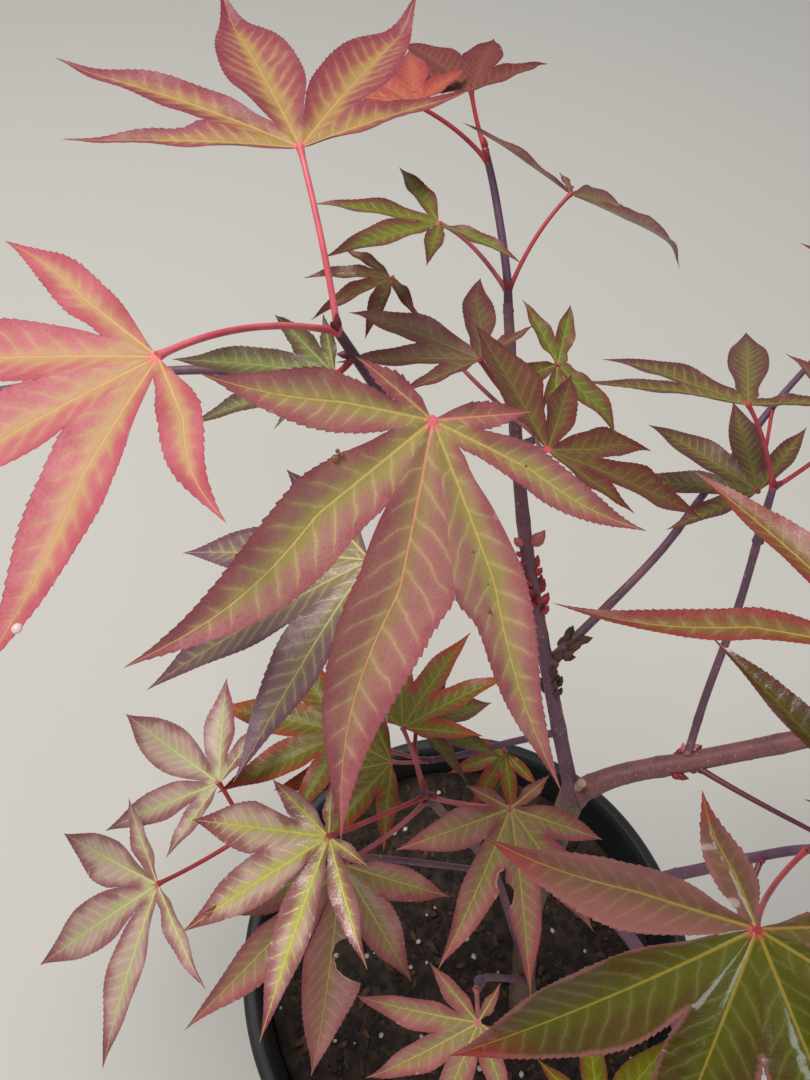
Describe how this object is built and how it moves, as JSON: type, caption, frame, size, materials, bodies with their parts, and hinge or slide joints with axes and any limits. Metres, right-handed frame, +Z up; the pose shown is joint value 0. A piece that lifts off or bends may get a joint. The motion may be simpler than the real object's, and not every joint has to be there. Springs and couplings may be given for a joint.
{
  "type": "potted japanese maple",
  "caption": "Young red-leaved japanese maple: slender forking boughs with opposite palmate leaves, growing in a black plastic nursery pot.",
  "frame": {"origin": "centre of the pot's flat underside", "axes": "+Z up, -Y towards the side that is pictured, +X to the picture's right"},
  "size_m": [0.5865, 0.4602, 0.6298],
  "materials": {
    "pot": "black moulded polypropylene, satin",
    "potting_mix": "moist composted bark with chips and perlite",
    "bark": "smooth young bark, purple to greenish brown",
    "leaf_rose": "thin leaf, rose margins and olive midribs",
    "leaf_red": "thin leaf, dark red",
    "leaf_plum": "thin leaf, purple brown",
    "leaf_olive": "glossy leaf, olive green with red",
    "leaf_bronze": "thin leaf, bronze green with mauve margins"
  },
  "bodies": {
    "root": {"pot": "pot", "soil": "potting_mix", "trunk": "bark", "right_limb": "bark", "central_stem": "bark", "front_bough": "bark", "front_right_shoot": "bark", "left_stem": "bark", "left_low_shoot": "bark", "low_middle_shoot": "bark", "upper_left_branch": "bark", "diagonal_branch": "bark", "right_shoot": "bark", "right_riser": "bark", "right_front_bough": "bark", "front_left_bough": "bark", "left_high_bough": "bark", "upper_left_leaves": "leaf_rose", "top_leaves": "leaf_red", "back_leaves": "leaf_plum", "right_leaves": "leaf_plum", "back_right_leaves": "leaf_bronze", "front_right_leaves": "leaf_olive", "left_leaves": "leaf_bronze", "left_low_leaves": "leaf_red", "inner_leaves": "leaf_bronze", "low_middle_leaves": "leaf_olive", "right_end_leaves": "leaf_bronze", "right_top_leaves": "leaf_red", "right_front_leaves": "leaf_rose", "front_leaves": "leaf_olive", "front_left_leaves": "leaf_plum", "left_high_leaves": "leaf_rose"}
  },
  "joints": []
}
